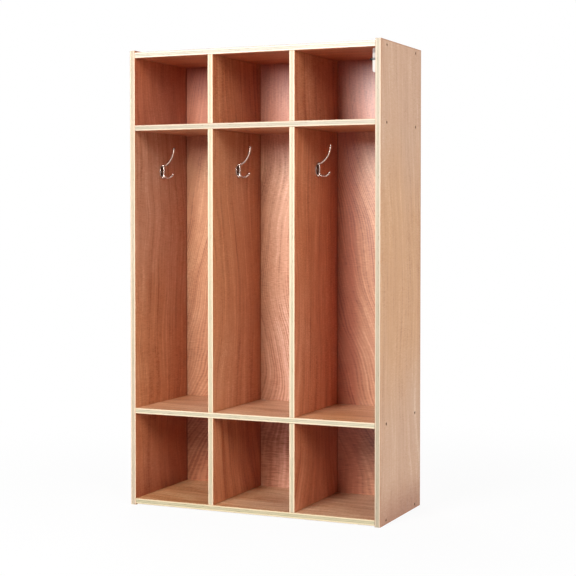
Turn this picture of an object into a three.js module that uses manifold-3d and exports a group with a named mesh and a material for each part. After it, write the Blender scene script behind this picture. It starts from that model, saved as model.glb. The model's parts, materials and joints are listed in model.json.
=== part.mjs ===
// Coat locker in plywood with three open bays side by side. Each bay has a small cubby at the top, a tall
// coat space with a plated double hook on its left wall, and a shoe cubby at the bottom.
//
// Two full-height sides carry four level boards that run the whole width. Short upright dividers stand
// between the level boards, and a thin back slides in grooves in the sides, top and bottom.
// Millimetres, +Z up. X runs across the bays and the open front faces -Y.
import * as THREE from "three";
import { mergeVertices } from "three/addons/utils/BufferGeometryUtils.js";
import Module from "manifold-3d";

const wasm = await Module();
wasm.setup();

// Overall sizes
const width = 715;
const height = 1219;
const depth = 308;
const bayCount = 3;

// Boards
const boardThickness = 15;
const easedEdge = 1.2; // radius worked on the two front corners of every board
const topReveal = 5; // the sides stand this far above the top
const footLift = 3; // the bottom clears the floor by this much
const topCubbyHeight = 179; // clear height between the top and the upper shelf
const shoeCubbyHeight = 229; // clear height between the lower shelf and the bottom
const jointGap = 0.3; // between two boards that butt

// Back
const backThickness = 5;
const backSetback = 7; // from the sides' rear edges to the back's rear face
const grooveDepth = 6;

// Screws that tie the level boards to the sides, and the top and bottom to the dividers
const screwLength = 50;
const screwHeadRadius = 4.3;
const screwHeadHeight = 3;
const screwCollarRadius = 3.4;
const screwShankRadius = 2.5;
const screwPointLength = 4;
const screwSink = 0.5; // head below the board's face
const screwCollarStop = 2.5; // the thick collar ends this far before the joint
const screwInset = 44; // from the front edge, and from the rear edge
const socketRadius = 2.3; // across the hexagon's corners
const socketDepth = 2.2;
const fitGap = 0.3; // clearance round anything that sits in a drilled hole

// Dowels that pass through a shelf into the divider above and the divider below
const dowelRadius = 4;
const dowelBite = 15;
const dowelChamfer = 1;
const dowelInset = 66; // from the front edge, and from the shelf's rear edge

// Coat hook: x is the distance out from the wall, z the height from the middle of its plate
const hookDrop = 105; // from the upper shelf down to the plate's middle
const hookFromFront = 146;
const plateHeight = 34;
const plateWidth = 23;
const plateThickness = 2.4;
const plateRim = 1.4; // height of the plate's upright edge, below the worked corner
const spineOut = 8.6; // of the two control points that bow the spine away from the plate
const spineRadius = 2.3;
const upperBeadOut = 5.5;
const lowerBeadOut = 3.4;
const beadRise = 15.9; // of both beads from the plate's middle
const beadRadius = 3.6;
const upperArmReach = 39;
const upperArmRise = 62.5;
const upperArmRootRadius = 2.9;
const upperArmTipRadius = 2.1;
const upperBallRadius = 3.5;
const lowerArmReach = 35.8;
const lowerArmRootOut = 6.2;
const lowerArmRoot = 9; // below the plate's middle
const lowerArmTip = 8; // below the plate's middle
const lowerArmSag = 21; // of the control points that give the dip
const lowerArmRootRadius = 2.6;
const lowerArmTipRadius = 1.9;
const lowerBallRadius = 3.2;
// Control points of the two arms, as shares of their reach and of the rise from root to tip
const upperArmShares = { leaveOut: 0.45, leaveUp: 0.05, turnOut: 0.95, turnUp: 0.36 };
const lowerArmShares = { leaveOut: 0.25, turnOut: 0.78 };

// Wood screws that hold the hooks, and the one in the corner fitting
const woodScrewBite = 10.5;
const woodScrewHeadRadius = 2.9;
const woodScrewHeadHeight = 1.8;
const woodScrewShankRadius = 1.6;
const woodScrewPointLength = 3;
const woodScrewOffset = 6.4; // either side of the plate's middle
const woodScrewProud = 0.3; // head above the plate at its place
const crossLength = 3.2;
const crossWidth = 0.7;
const crossDepth = 0.9;

// White moulded fitting inside the right bay, just under the top
const fittingHeight = 60;
const fittingOut = 8;
const fittingDeep = 14;
const fittingFromFront = 4;
const fittingBelowTop = 4;
const fittingLowerRadius = 5;
const fittingUpperRadius = 2.5;
const fittingScrewDrop = 27; // from the fitting's upper end
const panHeadRadius = 3.4;
const panHeadHeight = 4.2;
const panNeckRadius = 2; // plain neck that holds the head off the fitting
const panNeckLength = 4;

// Facets
const roundSides = 10; // of a drilled hole, more than a screw has so that the screw clears its flats
const screwSides = 8;
const edgeSides = 3;
const armSides = 8;
const armSteps = 11;
const ballSides = 10;
const plateSides = 24;
const cutOverrun = 1; // how far a cutter runs past the face it opens

// Worked-out sizes
const quarterTurn = Math.PI / 2;
const halfTurn = Math.PI;
const innerWidth = width - 2 * boardThickness;
const bayWidth = (innerWidth - (bayCount - 1) * boardThickness) / bayCount;
const dividerPitch = bayWidth + boardThickness;
const backFront = depth - backSetback - backThickness; // distance from the front edge to the back's face
const shelfDepth = backFront - jointGap;
const bottomZ = footLift;
const bottomTopZ = bottomZ + boardThickness;
const lowerShelfZ = bottomTopZ + shoeCubbyHeight;
const topZ = height - topReveal - boardThickness;
const upperShelfZ = topZ - topCubbyHeight - boardThickness;
const hookZ = upperShelfZ - hookDrop;
const levelLength = innerWidth - 2 * jointGap;
const grooveFront = backFront - fitGap;
const grooveRear = backFront + backThickness + fitGap;
const fittingTopZ = topZ - fittingBelowTop;
const fittingScrewZ = fittingTopZ - fittingScrewDrop;
const fittingScrewY = fittingFromFront + fittingDeep / 2;
const collarLength = boardThickness - screwSink - screwCollarStop;
const pilotRadius = woodScrewShankRadius + fitGap;
const screwDepthInEnd = screwLength + screwSink - boardThickness;
const dividerXs = Array.from(
  { length: bayCount - 1 },
  (_, i) => -innerWidth / 2 + bayWidth + boardThickness / 2 + i * dividerPitch,
);
const bayNames = ["left", "middle", "right"];
const dividerNames = ["left", "right"];
const screwRows = { front: screwInset, rear: depth - screwInset };
const dowelRows = { front: dowelInset, rear: shelfDepth - dowelInset };

// Materials
const plywood = new THREE.MeshStandardMaterial({ color: 0xb9785a, roughness: 0.55, metalness: 0 });
const backPly = new THREE.MeshStandardMaterial({ color: 0xc48a6c, roughness: 0.5, metalness: 0 });
const beech = new THREE.MeshStandardMaterial({ color: 0xd9b98c, roughness: 0.7, metalness: 0 });
const bronzedSteel = new THREE.MeshStandardMaterial({ color: 0x6b5140, roughness: 0.45, metalness: 1 });
const chrome = new THREE.MeshStandardMaterial({ color: 0xd8d6d4, roughness: 0.15, metalness: 1 });
const whiteMoulding = new THREE.MeshStandardMaterial({ color: 0xf4f3f0, roughness: 0.5, metalness: 0 });
const blackSteel = new THREE.MeshStandardMaterial({ color: 0x2a2725, roughness: 0.5, metalness: 1 });

// A closed geometry as a solid that can be joined and cut
function solidOf(geometry) {
  const bare = geometry.clone();
  bare.deleteAttribute("normal");
  bare.deleteAttribute("uv");
  const merged = mergeVertices(bare);
  return new wasm.Manifold(
    new wasm.Mesh({
      numProp: 3,
      vertProperties: merged.attributes.position.array,
      triVerts: new Uint32Array(merged.index.array),
    }),
  );
}

function geometryOf(solid) {
  const mesh = solid.getMesh();
  const geometry = new THREE.BufferGeometry();
  geometry.setAttribute("position", new THREE.BufferAttribute(mesh.vertProperties, 3));
  geometry.setIndex(new THREE.BufferAttribute(mesh.triVerts, 1));
  const faceted = geometry.toNonIndexed();
  faceted.computeVertexNormals();
  return faceted;
}

function cut(geometry, cutters) {
  let solid = solidOf(geometry);
  for (const cutter of cutters) solid = solid.subtract(solidOf(cutter));
  return geometryOf(solid);
}

function join(geometries) {
  return geometries.map(solidOf).reduce((all, piece) => all.add(piece));
}

function meshOf(name, geometry, material, x, y, z) {
  const mesh = new THREE.Mesh(geometry, material);
  mesh.name = name;
  mesh.position.set(x, y, z);
  return mesh;
}

// Round hole whose mouth is at (x, y, z) and which runs towards the given direction
function hole(radius, length, direction, x, y, z) {
  const geometry = new THREE.CylinderGeometry(radius, radius, length + cutOverrun, roundSides);
  geometry.translate(0, (length - cutOverrun) / 2, 0);
  const turn = new THREE.Quaternion().setFromUnitVectors(new THREE.Vector3(0, 1, 0), direction);
  geometry.applyQuaternion(turn);
  return geometry.translate(x, y, z);
}

const towardsX = new THREE.Vector3(1, 0, 0);
const awayFromX = new THREE.Vector3(-1, 0, 0);
const upwards = new THREE.Vector3(0, 0, 1);
const downwards = new THREE.Vector3(0, 0, -1);

// Section of a board: its two front corners are eased, and a groove for the back may be cut in one face.
// Across is the thickness, centred; along is the distance from the front edge.
function boardSection(sectionDepth, grooveFace) {
  const half = boardThickness / 2;
  const shape = new THREE.Shape();
  shape.moveTo(-half, sectionDepth);
  if (grooveFace === -1) addGroove(shape, -half, grooveDepth, grooveRear, grooveFront);
  shape.lineTo(-half, easedEdge);
  shape.absarc(-half + easedEdge, easedEdge, easedEdge, halfTurn, halfTurn + quarterTurn, false);
  shape.absarc(half - easedEdge, easedEdge, easedEdge, -quarterTurn, 0, false);
  if (grooveFace === 1) addGroove(shape, half, -grooveDepth, grooveFront, grooveRear);
  shape.lineTo(half, sectionDepth);
  shape.closePath();
  return shape;
}

function addGroove(shape, face, inwards, first, second) {
  shape.lineTo(face, first);
  shape.lineTo(face + inwards, first);
  shape.lineTo(face + inwards, second);
  shape.lineTo(face, second);
}

// Upright board, standing on its own origin, with its thickness centred on x
function uprightBoard(length, sectionDepth, grooveFace) {
  return new THREE.ExtrudeGeometry(boardSection(sectionDepth, grooveFace), {
    depth: length,
    bevelEnabled: false,
    curveSegments: edgeSides,
  });
}

// Level board, lying on its own origin, centred on x
function levelBoard(sectionDepth, grooveFace) {
  const geometry = new THREE.ExtrudeGeometry(boardSection(sectionDepth, grooveFace), {
    depth: levelLength,
    bevelEnabled: false,
    curveSegments: edgeSides,
  });
  geometry.rotateY(-quarterTurn);
  return geometry.translate(levelLength / 2, 0, boardThickness / 2);
}

// Stepped hole that takes a screw's head, collar and shank, drilled from a face
function screwHole(direction, x, y, z) {
  const headDepth = screwSink + screwHeadHeight + fitGap;
  return [
    hole(screwHeadRadius + fitGap, headDepth, direction, x, y, z),
    hole(screwCollarRadius + fitGap, boardThickness + cutOverrun, direction, x, y, z),
  ];
}

function screwEndHole(direction, x, y, z) {
  return hole(screwShankRadius + fitGap, screwDepthInEnd + fitGap, direction, x, y, z);
}

const levels = {
  top: topZ,
  upper_shelf: upperShelfZ,
  lower_shelf: lowerShelfZ,
  bottom: bottomZ,
};
const hookScrewOffsets = { front: -woodScrewOffset, rear: woodScrewOffset };

// Pilot holes behind a hook, drilled in the wall at the given face and height
function hookPilots(face, z) {
  return Object.values(hookScrewOffsets).map((offset) =>
    hole(pilotRadius, woodScrewBite + fitGap, awayFromX, face, hookFromFront + offset, z),
  );
}

// Side: -1 is the left one, 1 the right one
function sidePanel(side) {
  const outwards = side * boardThickness / 2;
  const direction = side === 1 ? awayFromX : towardsX;
  const cutters = [];
  for (const z of Object.values(levels)) {
    for (const y of Object.values(screwRows)) {
      cutters.push(...screwHole(direction, outwards, y, z + boardThickness / 2));
    }
  }
  if (side === -1) cutters.push(...hookPilots(-outwards, hookZ));
  if (side === 1) {
    const mouth = -outwards;
    const bite = woodScrewBite + fitGap;
    cutters.push(hole(pilotRadius, bite, towardsX, mouth, fittingScrewY, fittingScrewZ));
  }
  return cut(uprightBoard(height, depth, -side), cutters);
}

// Holes in the two ends of a level board
function endHoles() {
  const z = boardThickness / 2;
  return Object.values(screwRows).flatMap((y) => [
    screwEndHole(towardsX, -levelLength / 2, y, z),
    screwEndHole(awayFromX, levelLength / 2, y, z),
  ]);
}

// Top or bottom: drilled from its outer face into the dividers, and grooved inside for the back
function outerBoard(isTop) {
  const direction = isTop ? downwards : upwards;
  const face = isTop ? boardThickness : 0;
  const cutters = endHoles();
  for (const x of dividerXs) {
    for (const y of Object.values(screwRows)) cutters.push(...screwHole(direction, x, y, face));
  }
  return cut(levelBoard(depth, isTop ? -1 : 1), cutters);
}

function shelf() {
  const cutters = endHoles();
  for (const x of dividerXs) {
    for (const y of Object.values(dowelRows)) {
      cutters.push(hole(dowelRadius + fitGap, boardThickness + cutOverrun, upwards, x, y, 0));
    }
  }
  return cut(levelBoard(shelfDepth, 0), cutters);
}

// Divider between two level boards. Its ends take screws or dowels.
function divider(clearHeight, lowerEnd, upperEnd, extraCutters = []) {
  const length = clearHeight - 2 * jointGap;
  const cutters = [...extraCutters];
  const endFastener = {
    screw: (direction, z) =>
      Object.values(screwRows).map((y) => screwEndHole(direction, 0, y, z)),
    dowel: (direction, z) =>
      Object.values(dowelRows).map((y) => hole(dowelRadius + fitGap, dowelBite, direction, 0, y, z)),
  };
  cutters.push(...endFastener[lowerEnd](upwards, 0));
  cutters.push(...endFastener[upperEnd](downwards, length));
  return cut(uprightBoard(length, shelfDepth, 0), cutters);
}

// Back: a thin sheet that sits in the grooves of the sides, top and bottom
function backPanel() {
  const inGroove = grooveDepth - fitGap;
  const low = bottomTopZ - inGroove;
  const high = topZ + inGroove;
  const geometry = new THREE.BoxGeometry(innerWidth + 2 * inGroove, backThickness, high - low);
  return meshOf("back_panel", geometry, backPly, 0, backFront + backThickness / 2, (high + low) / 2);
}

// Assembly screw along z: the head's face is at the origin and the point is below
function assemblyScrew() {
  const profile = [
    [0, -screwLength],
    [screwShankRadius, -screwLength + screwPointLength],
    [screwShankRadius, -collarLength],
    [screwCollarRadius, -collarLength],
    [screwCollarRadius, -screwHeadHeight],
    [screwHeadRadius, -screwHeadHeight],
    [screwHeadRadius, 0],
    [0, 0],
  ];
  const socket = new THREE.CylinderGeometry(socketRadius, socketRadius, socketDepth + cutOverrun, 6);
  socket.rotateX(quarterTurn).translate(0, 0, (cutOverrun - socketDepth) / 2);
  return cut(latheAlongZ(profile, screwSides), [socket]);
}

// Profile points are [radius, z]
function latheAlongZ(profile, sides) {
  const points = profile.map(([radius, z]) => new THREE.Vector2(radius, z));
  return new THREE.LatheGeometry(points, sides).rotateX(quarterTurn);
}

function crossRecess(faceZ) {
  const deep = crossDepth + cutOverrun;
  const z = faceZ + cutOverrun / 2 - crossDepth / 2;
  return [
    new THREE.BoxGeometry(crossLength, crossWidth, deep).translate(0, 0, z),
    new THREE.BoxGeometry(crossWidth, crossLength, deep).translate(0, 0, z),
  ];
}

// Countersunk wood screw along z, with its face at the origin. Grip is what lies between face and wall.
function countersunkScrew(grip) {
  const length = grip + woodScrewBite;
  const profile = [
    [0, -length],
    [woodScrewShankRadius, -length + woodScrewPointLength],
    [woodScrewShankRadius, -woodScrewHeadHeight],
    [woodScrewHeadRadius, 0],
    [0, 0],
  ];
  return cut(latheAlongZ(profile, screwSides), crossRecess(0));
}

// Pan-head screw along z, with its neck's seat at the origin. Grip is what lies between seat and wall.
function panHeadScrew(grip) {
  const length = grip + woodScrewBite;
  const face = panNeckLength + panHeadHeight;
  const profile = [
    [0, -length],
    [woodScrewShankRadius, -length + woodScrewPointLength],
    [woodScrewShankRadius, 0],
    [panNeckRadius, 0],
    [panNeckRadius, panNeckLength],
    [panHeadRadius, panNeckLength],
    [panHeadRadius, panNeckLength + panHeadHeight / 2],
    [(panHeadRadius + panNeckRadius) / 2, face],
    [0, face],
  ];
  return cut(latheAlongZ(profile, screwSides), crossRecess(face));
}

function dowel() {
  const half = boardThickness / 2 + jointGap + dowelBite - fitGap;
  const profile = [
    [0, -half],
    [dowelRadius - dowelChamfer, -half],
    [dowelRadius, -half + dowelChamfer],
    [dowelRadius, half - dowelChamfer],
    [dowelRadius - dowelChamfer, half],
    [0, half],
  ];
  return latheAlongZ(profile, screwSides);
}

// Solid round bar that follows a curve in the plane y = 0 while its radius goes from one value to another
function taperedBar(curve, rootRadius, tipRadius) {
  const positions = [];
  const indices = [];
  for (let step = 0; step <= armSteps; step += 1) {
    const share = step / armSteps;
    const centre = curve.getPoint(share);
    const along = curve.getTangent(share);
    const radius = rootRadius + (tipRadius - rootRadius) * share;
    for (let side = 0; side < armSides; side += 1) {
      const angle = (2 * Math.PI * side) / armSides;
      const across = Math.cos(angle) * radius;
      positions.push(
        centre.x + along.z * across,
        Math.sin(angle) * radius,
        centre.z - along.x * across,
      );
    }
  }
  for (let step = 0; step < armSteps; step += 1) {
    for (let side = 0; side < armSides; side += 1) {
      const a = step * armSides + side;
      const b = step * armSides + ((side + 1) % armSides);
      indices.push(a, b, a + armSides, b, b + armSides, a + armSides);
    }
  }
  const last = armSteps * armSides;
  for (let side = 1; side < armSides - 1; side += 1) {
    indices.push(0, side + 1, side);
    indices.push(last, last + side, last + side + 1);
  }
  const geometry = new THREE.BufferGeometry();
  geometry.setAttribute("position", new THREE.Float32BufferAttribute(positions, 3));
  geometry.setIndex(indices);
  return geometry;
}

function ball(radius, x, z) {
  const geometry = new THREE.SphereGeometry(radius, ballSides, ballSides / 2 + 1);
  return geometry.rotateX(quarterTurn).translate(x, 0, z);
}

function inPlane(x, z) {
  return new THREE.Vector3(x, 0, z);
}

// Flat oval plate that lies on the wall at x = 0, with its rim worked off
function hookPlate() {
  const radius = plateHeight / 2;
  const worked = plateThickness - plateRim;
  const profile = [
    [0, 0],
    [radius, 0],
    [radius, plateRim],
    [radius - worked, plateThickness],
    [0, plateThickness],
  ];
  const geometry = latheAlongZ(profile, plateSides);
  geometry.scale(1, plateWidth / plateHeight, 1);
  return geometry.rotateY(quarterTurn);
}

const hookScrewSeat = plateThickness + woodScrewProud; // the screw's face, out from the wall

// Room for a countersunk screw through the plate
function hookScrewRoom(offset) {
  const profile = [
    [0, -hookScrewSeat - cutOverrun],
    [pilotRadius, -hookScrewSeat - cutOverrun],
    [pilotRadius, -woodScrewHeadHeight],
    [woodScrewHeadRadius + fitGap, 0],
    [woodScrewHeadRadius + fitGap, cutOverrun],
    [0, cutOverrun],
  ];
  return latheAlongZ(profile, roundSides).rotateY(quarterTurn).translate(hookScrewSeat, offset, 0);
}

// Double hook: oval plate, upright spine between two beads, long upper arm and short lower arm with ball ends
function coatHook() {
  const armRise = upperArmRise - beadRise;
  const upperArm = new THREE.CubicBezierCurve3(
    inPlane(upperBeadOut, beadRise),
    inPlane(upperArmReach * upperArmShares.leaveOut, beadRise + armRise * upperArmShares.leaveUp),
    inPlane(upperArmReach * upperArmShares.turnOut, beadRise + armRise * upperArmShares.turnUp),
    inPlane(upperArmReach, upperArmRise),
  );
  const lowerArm = new THREE.CubicBezierCurve3(
    inPlane(lowerArmRootOut, -lowerArmRoot),
    inPlane(lowerArmReach * lowerArmShares.leaveOut, -lowerArmSag),
    inPlane(lowerArmReach * lowerArmShares.turnOut, -lowerArmSag),
    inPlane(lowerArmReach, -lowerArmTip),
  );
  const spine = new THREE.CubicBezierCurve3(
    inPlane(upperBeadOut, beadRise),
    inPlane(spineOut, beadRise / 2),
    inPlane(spineOut, -beadRise / 2),
    inPlane(lowerBeadOut, -beadRise),
  );
  const body = join([
    hookPlate(),
    taperedBar(spine, spineRadius, spineRadius),
    ball(beadRadius, upperBeadOut, beadRise),
    ball(beadRadius, lowerBeadOut, -beadRise),
    taperedBar(upperArm, upperArmRootRadius, upperArmTipRadius),
    ball(upperBallRadius, upperArmReach, upperArmRise),
    taperedBar(lowerArm, lowerArmRootRadius, lowerArmTipRadius),
    ball(lowerBallRadius, lowerArmReach, -lowerArmTip),
  ]);
  const wall = new THREE.BoxGeometry(beadRadius * 2, plateHeight * 2, plateHeight * 4);
  wall.translate(-beadRadius, 0, 0);
  const rooms = Object.values(hookScrewOffsets).map(hookScrewRoom);
  return [wall, ...rooms].reduce((solid, cutter) => solid.subtract(solidOf(cutter)), body);
}

// Moulded fitting: its outline is seen from the front, with x the distance out from the side it lies on
function cornerFitting() {
  const lower = fittingLowerRadius;
  const upper = fittingUpperRadius;
  const shape = new THREE.Shape();
  shape.moveTo(0, 0);
  shape.lineTo(0, -fittingHeight);
  shape.lineTo(fittingOut - lower, -fittingHeight);
  shape.absarc(fittingOut - lower, lower - fittingHeight, lower, -quarterTurn, 0, false);
  shape.absarc(fittingOut - upper, -upper, upper, 0, quarterTurn, false);
  shape.closePath();
  const geometry = new THREE.ExtrudeGeometry(shape, {
    depth: fittingDeep,
    bevelEnabled: false,
    curveSegments: 2 * edgeSides,
  });
  geometry.rotateX(quarterTurn).translate(0, fittingDeep, 0);
  const bore = hole(pilotRadius, fittingOut + cutOverrun, towardsX, 0, fittingDeep / 2, -fittingScrewDrop);
  return cut(geometry, [bore]);
}

// Assembly. Inside the cabinet group y is the distance from the front edge.
const locker = new THREE.Group();
const cabinet = new THREE.Group();
cabinet.position.y = -depth / 2;
locker.add(cabinet);

function add(name, geometry, material, x, y, z) {
  const mesh = meshOf(name, geometry, material, x, y, z);
  cabinet.add(mesh);
  return mesh;
}

const sideX = (width - boardThickness) / 2;
add("side_panel_left", sidePanel(-1), plywood, -sideX, 0, 0);
add("side_panel_right", sidePanel(1), plywood, sideX, 0, 0);
add("top_panel", outerBoard(true), plywood, 0, 0, topZ);
add("upper_shelf", shelf(), plywood, 0, 0, upperShelfZ);
add("lower_shelf", shelf(), plywood, 0, 0, lowerShelfZ);
add("bottom_panel", outerBoard(false), plywood, 0, 0, bottomZ);
cabinet.add(backPanel());

const coatSpaceZ = lowerShelfZ + boardThickness + jointGap;
const upperSpaceZ = upperShelfZ + boardThickness + jointGap;
const lowerSpaceZ = bottomTopZ + jointGap;
const upperDivider = divider(topCubbyHeight, "dowel", "screw");
const lowerDivider = divider(shoeCubbyHeight, "screw", "dowel");
const coatSpaceHeight = upperShelfZ - lowerShelfZ - boardThickness;
const pilots = hookPilots(boardThickness / 2, hookZ - coatSpaceZ);
const middleDivider = divider(coatSpaceHeight, "dowel", "dowel", pilots);
dividerXs.forEach((x, i) => {
  add(`upper_divider_${dividerNames[i]}`, upperDivider, plywood, x, 0, upperSpaceZ);
  add(`middle_divider_${dividerNames[i]}`, middleDivider, plywood, x, 0, coatSpaceZ);
  add(`lower_divider_${dividerNames[i]}`, lowerDivider, plywood, x, 0, lowerSpaceZ);
});

const screwGeometry = assemblyScrew();
for (const [level, z] of Object.entries(levels)) {
  for (const [row, y] of Object.entries(screwRows)) {
    const faceX = width / 2 - screwSink;
    const middleZ = z + boardThickness / 2;
    const left = add(`${level}_screw_left_${row}`, screwGeometry, bronzedSteel, -faceX, y, middleZ);
    left.rotation.y = -quarterTurn;
    const right = add(`${level}_screw_right_${row}`, screwGeometry, bronzedSteel, faceX, y, middleZ);
    right.rotation.y = quarterTurn;
  }
}

const dowelGeometry = dowel();
dividerXs.forEach((x, i) => {
  for (const [row, y] of Object.entries(screwRows)) {
    const name = `${dividerNames[i]}_${row}`;
    const topFace = topZ + boardThickness - screwSink;
    add(`divider_top_screw_${name}`, screwGeometry, bronzedSteel, x, y, topFace);
    const bottomFace = bottomZ + screwSink;
    const low = add(`divider_bottom_screw_${name}`, screwGeometry, bronzedSteel, x, y, bottomFace);
    low.rotation.x = halfTurn;
  }
  for (const [row, y] of Object.entries(dowelRows)) {
    const name = `${dividerNames[i]}_${row}`;
    add(`upper_dowel_${name}`, dowelGeometry, beech, x, y, upperShelfZ + boardThickness / 2);
    add(`lower_dowel_${name}`, dowelGeometry, beech, x, y, lowerShelfZ + boardThickness / 2);
  }
});

const hookGeometry = geometryOf(coatHook());
const hookScrewGeometry = countersunkScrew(hookScrewSeat + jointGap);
bayNames.slice(0, bayCount).forEach((bay, i) => {
  const wallX = -innerWidth / 2 + i * dividerPitch;
  const hook = new THREE.Group();
  hook.position.set(wallX + jointGap, hookFromFront, hookZ);
  hook.add(meshOf(`coat_hook_${bay}`, hookGeometry, chrome, 0, 0, 0));
  for (const [row, offset] of Object.entries(hookScrewOffsets)) {
    const screw = meshOf(`hook_screw_${bay}_${row}`, hookScrewGeometry, chrome, hookScrewSeat, offset, 0);
    screw.rotation.y = quarterTurn;
    hook.add(screw);
  }
  cabinet.add(hook);
});

// The fitting lies on the right side's inner face, so its own x runs towards the left
const fitting = new THREE.Group();
fitting.position.set(innerWidth / 2 - jointGap, fittingFromFront + fittingDeep, fittingTopZ);
fitting.rotation.z = halfTurn;
fitting.add(meshOf("corner_fitting", cornerFitting(), whiteMoulding, 0, 0, 0));
const fittingSeat = fittingOut + fitGap;
const fittingScrew = meshOf(
  "corner_fitting_screw",
  panHeadScrew(fittingSeat + jointGap),
  blackSteel,
  fittingSeat,
  fittingDeep / 2,
  -fittingScrewDrop,
);
fittingScrew.rotation.y = quarterTurn;
fitting.add(fittingScrew);
cabinet.add(fitting);

export default locker;
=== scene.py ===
"""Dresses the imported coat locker: veneered plywood boards, plated double hooks, screws and a studio."""

import json
import math
from typing import NamedTuple

import bmesh
import bpy
from bpy.props import FloatProperty, FloatVectorProperty, PointerProperty
from mathutils import Euler, Matrix, Vector

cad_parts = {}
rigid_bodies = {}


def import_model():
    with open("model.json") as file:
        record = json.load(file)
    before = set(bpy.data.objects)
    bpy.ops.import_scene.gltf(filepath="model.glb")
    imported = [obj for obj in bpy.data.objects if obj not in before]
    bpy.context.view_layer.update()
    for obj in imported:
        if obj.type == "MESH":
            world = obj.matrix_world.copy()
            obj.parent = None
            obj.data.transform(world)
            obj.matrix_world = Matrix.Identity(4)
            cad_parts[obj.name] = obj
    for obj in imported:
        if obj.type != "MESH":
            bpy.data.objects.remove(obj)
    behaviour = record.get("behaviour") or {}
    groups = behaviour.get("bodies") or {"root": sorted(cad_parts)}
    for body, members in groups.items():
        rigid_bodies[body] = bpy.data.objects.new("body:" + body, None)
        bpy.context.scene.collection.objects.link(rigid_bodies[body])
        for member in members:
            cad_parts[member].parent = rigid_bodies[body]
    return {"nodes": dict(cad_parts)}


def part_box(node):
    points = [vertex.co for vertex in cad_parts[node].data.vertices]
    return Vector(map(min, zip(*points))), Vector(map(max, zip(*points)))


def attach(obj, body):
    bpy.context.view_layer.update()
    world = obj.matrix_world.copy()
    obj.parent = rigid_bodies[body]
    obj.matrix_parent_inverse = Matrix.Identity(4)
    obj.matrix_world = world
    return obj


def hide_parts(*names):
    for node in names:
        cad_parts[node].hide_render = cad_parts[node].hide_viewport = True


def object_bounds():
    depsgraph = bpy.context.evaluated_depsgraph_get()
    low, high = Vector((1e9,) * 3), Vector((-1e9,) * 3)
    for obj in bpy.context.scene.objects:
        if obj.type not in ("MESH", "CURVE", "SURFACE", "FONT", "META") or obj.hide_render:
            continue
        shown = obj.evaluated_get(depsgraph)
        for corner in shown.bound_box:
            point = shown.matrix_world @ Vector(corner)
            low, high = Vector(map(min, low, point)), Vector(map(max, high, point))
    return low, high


bl_info = {
    "name": "Coat locker",
    "version": (1, 0, 0),
    "blender": (4, 5, 0),
    "location": "View3D > Sidebar > Locker",
    "description": "Gives a packed plywood coat locker its finishes, its hooks, its screws and a studio",
    "category": "Object",
}

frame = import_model()
CAD_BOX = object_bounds()
FRONT = CAD_BOX[0][1]

BODY = "root"
MM = 0.001
WHITE = (1, 1, 1)
BAYS = ("left", "middle", "right")
SIDES = ("left", "right")
ROWS = ("front", "rear")
LEVELS = ("top", "upper_shelf", "lower_shelf", "bottom")
FITTING = "corner_fitting"
FITTING_SCREW = "corner_fitting_screw"

# Axes of a board: across the grain, through the thickness, along the grain
UPRIGHT = (1, 0, 2)
LEVEL = (1, 2, 0)
BACK = (0, 1, 2)


class Board(NamedTuple):
    """How a board is veneered. Stains of its low and its high face are partly its own tone, partly painted
    shade.
    """

    axes: tuple
    stains_and_shade: tuple
    rings: float = 0.3
    blush: float = 0.2
    lacquer: float = 0.25
    refraction: float = 1.5
    haze: float = 0.5  # roughness of the lacquer
    edge_light: tuple = (1.0, 0.97, 1.0)
    contrast: float = 1.5
    fan: float = 0.1  # how far the grain opens towards the foot
    foot: float = 0.0  # painted shade: how much darker it is just above the floor
    painted_light_and_shadow: tuple = (0.0, 0.0)  # shares of the painted light and of the painted shadow on the back
    shadow_under_boards: float = 0.0  # painted shadow: how much darker it is under a level board


BOARDS = {
    "side_panel_left": Board(
        UPRIGHT, (0.06, 0.7), blush=0.6, contrast=1.3, foot=1.0, edge_light=(0.92, 0.86, 0.92)
    ),
    "side_panel_right": Board(
        UPRIGHT, (0.8, 0.06), blush=0.6, contrast=0.78, foot=1.0, edge_light=(0.74, 0.71, 0.75)
    ),
    "top_panel": Board(LEVEL, (0.7, 0.0), edge_light=(0.98, 1.03, 1.22)),
    "upper_shelf": Board(LEVEL, (0.8, 0.0), edge_light=(0.79, 0.78, 0.86)),
    "lower_shelf": Board(LEVEL, (0.7, 0.2), blush=0.4, edge_light=(0.96, 0.98, 1.03)),
    "bottom_panel": Board(LEVEL, (0.0, 0.05), blush=0.5, edge_light=(0.93, 0.95, 0.91)),
    "upper_divider_left": Board(UPRIGHT, (0.6, 0.5)),
    "upper_divider_right": Board(UPRIGHT, (0.6, 0.5)),
    "middle_divider_left": Board(UPRIGHT, (0.8, 0.65), contrast=1.15),
    "middle_divider_right": Board(UPRIGHT, (0.8, 1.0)),
    "lower_divider_left": Board(UPRIGHT, (0.7, 0.65)),
    "lower_divider_right": Board(UPRIGHT, (0.7, 0.75)),
    "back_panel": Board(
        BACK, (0.45, 0.0), rings=1.0, lacquer=1.0, refraction=1.7, haze=0.36, contrast=1.1, fan=1.0,
        painted_light_and_shadow=(0.6, 0.75), shadow_under_boards=0.75
    ),
}

# Each board is cut from its own place on the log, this far from the last
LOG_STEP = (1.37, 0.61, 2.93)

# Parts of the veneer's figure: cells a metre across and along the grain, detail and roughness
FIGURE = {
    "bend": (2.6, 2.4, 1.0),
    "kink": (24.0, 10.0),
    "ring patches": (9.0, 3.0),
    "broad": (26.0, 1.3, 3.0, 0.55),
    "streak": (115.0, 3.2, 3.0, 0.6),
    "fine": (300.0, 7.0, 3.0, 0.7),
    "mottle": (30.0, 18.0, 3.0, 0.55),
    "speck": (900.0, 420.0, 1.0),
    "ripple patches": (8.0, 5.0, 1.0),
    "ripple": (85.0, 350.0),
    "pores": (1500.0, 75.0, 1.0),
    "drift": (6.0, 1.8),
}

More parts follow.
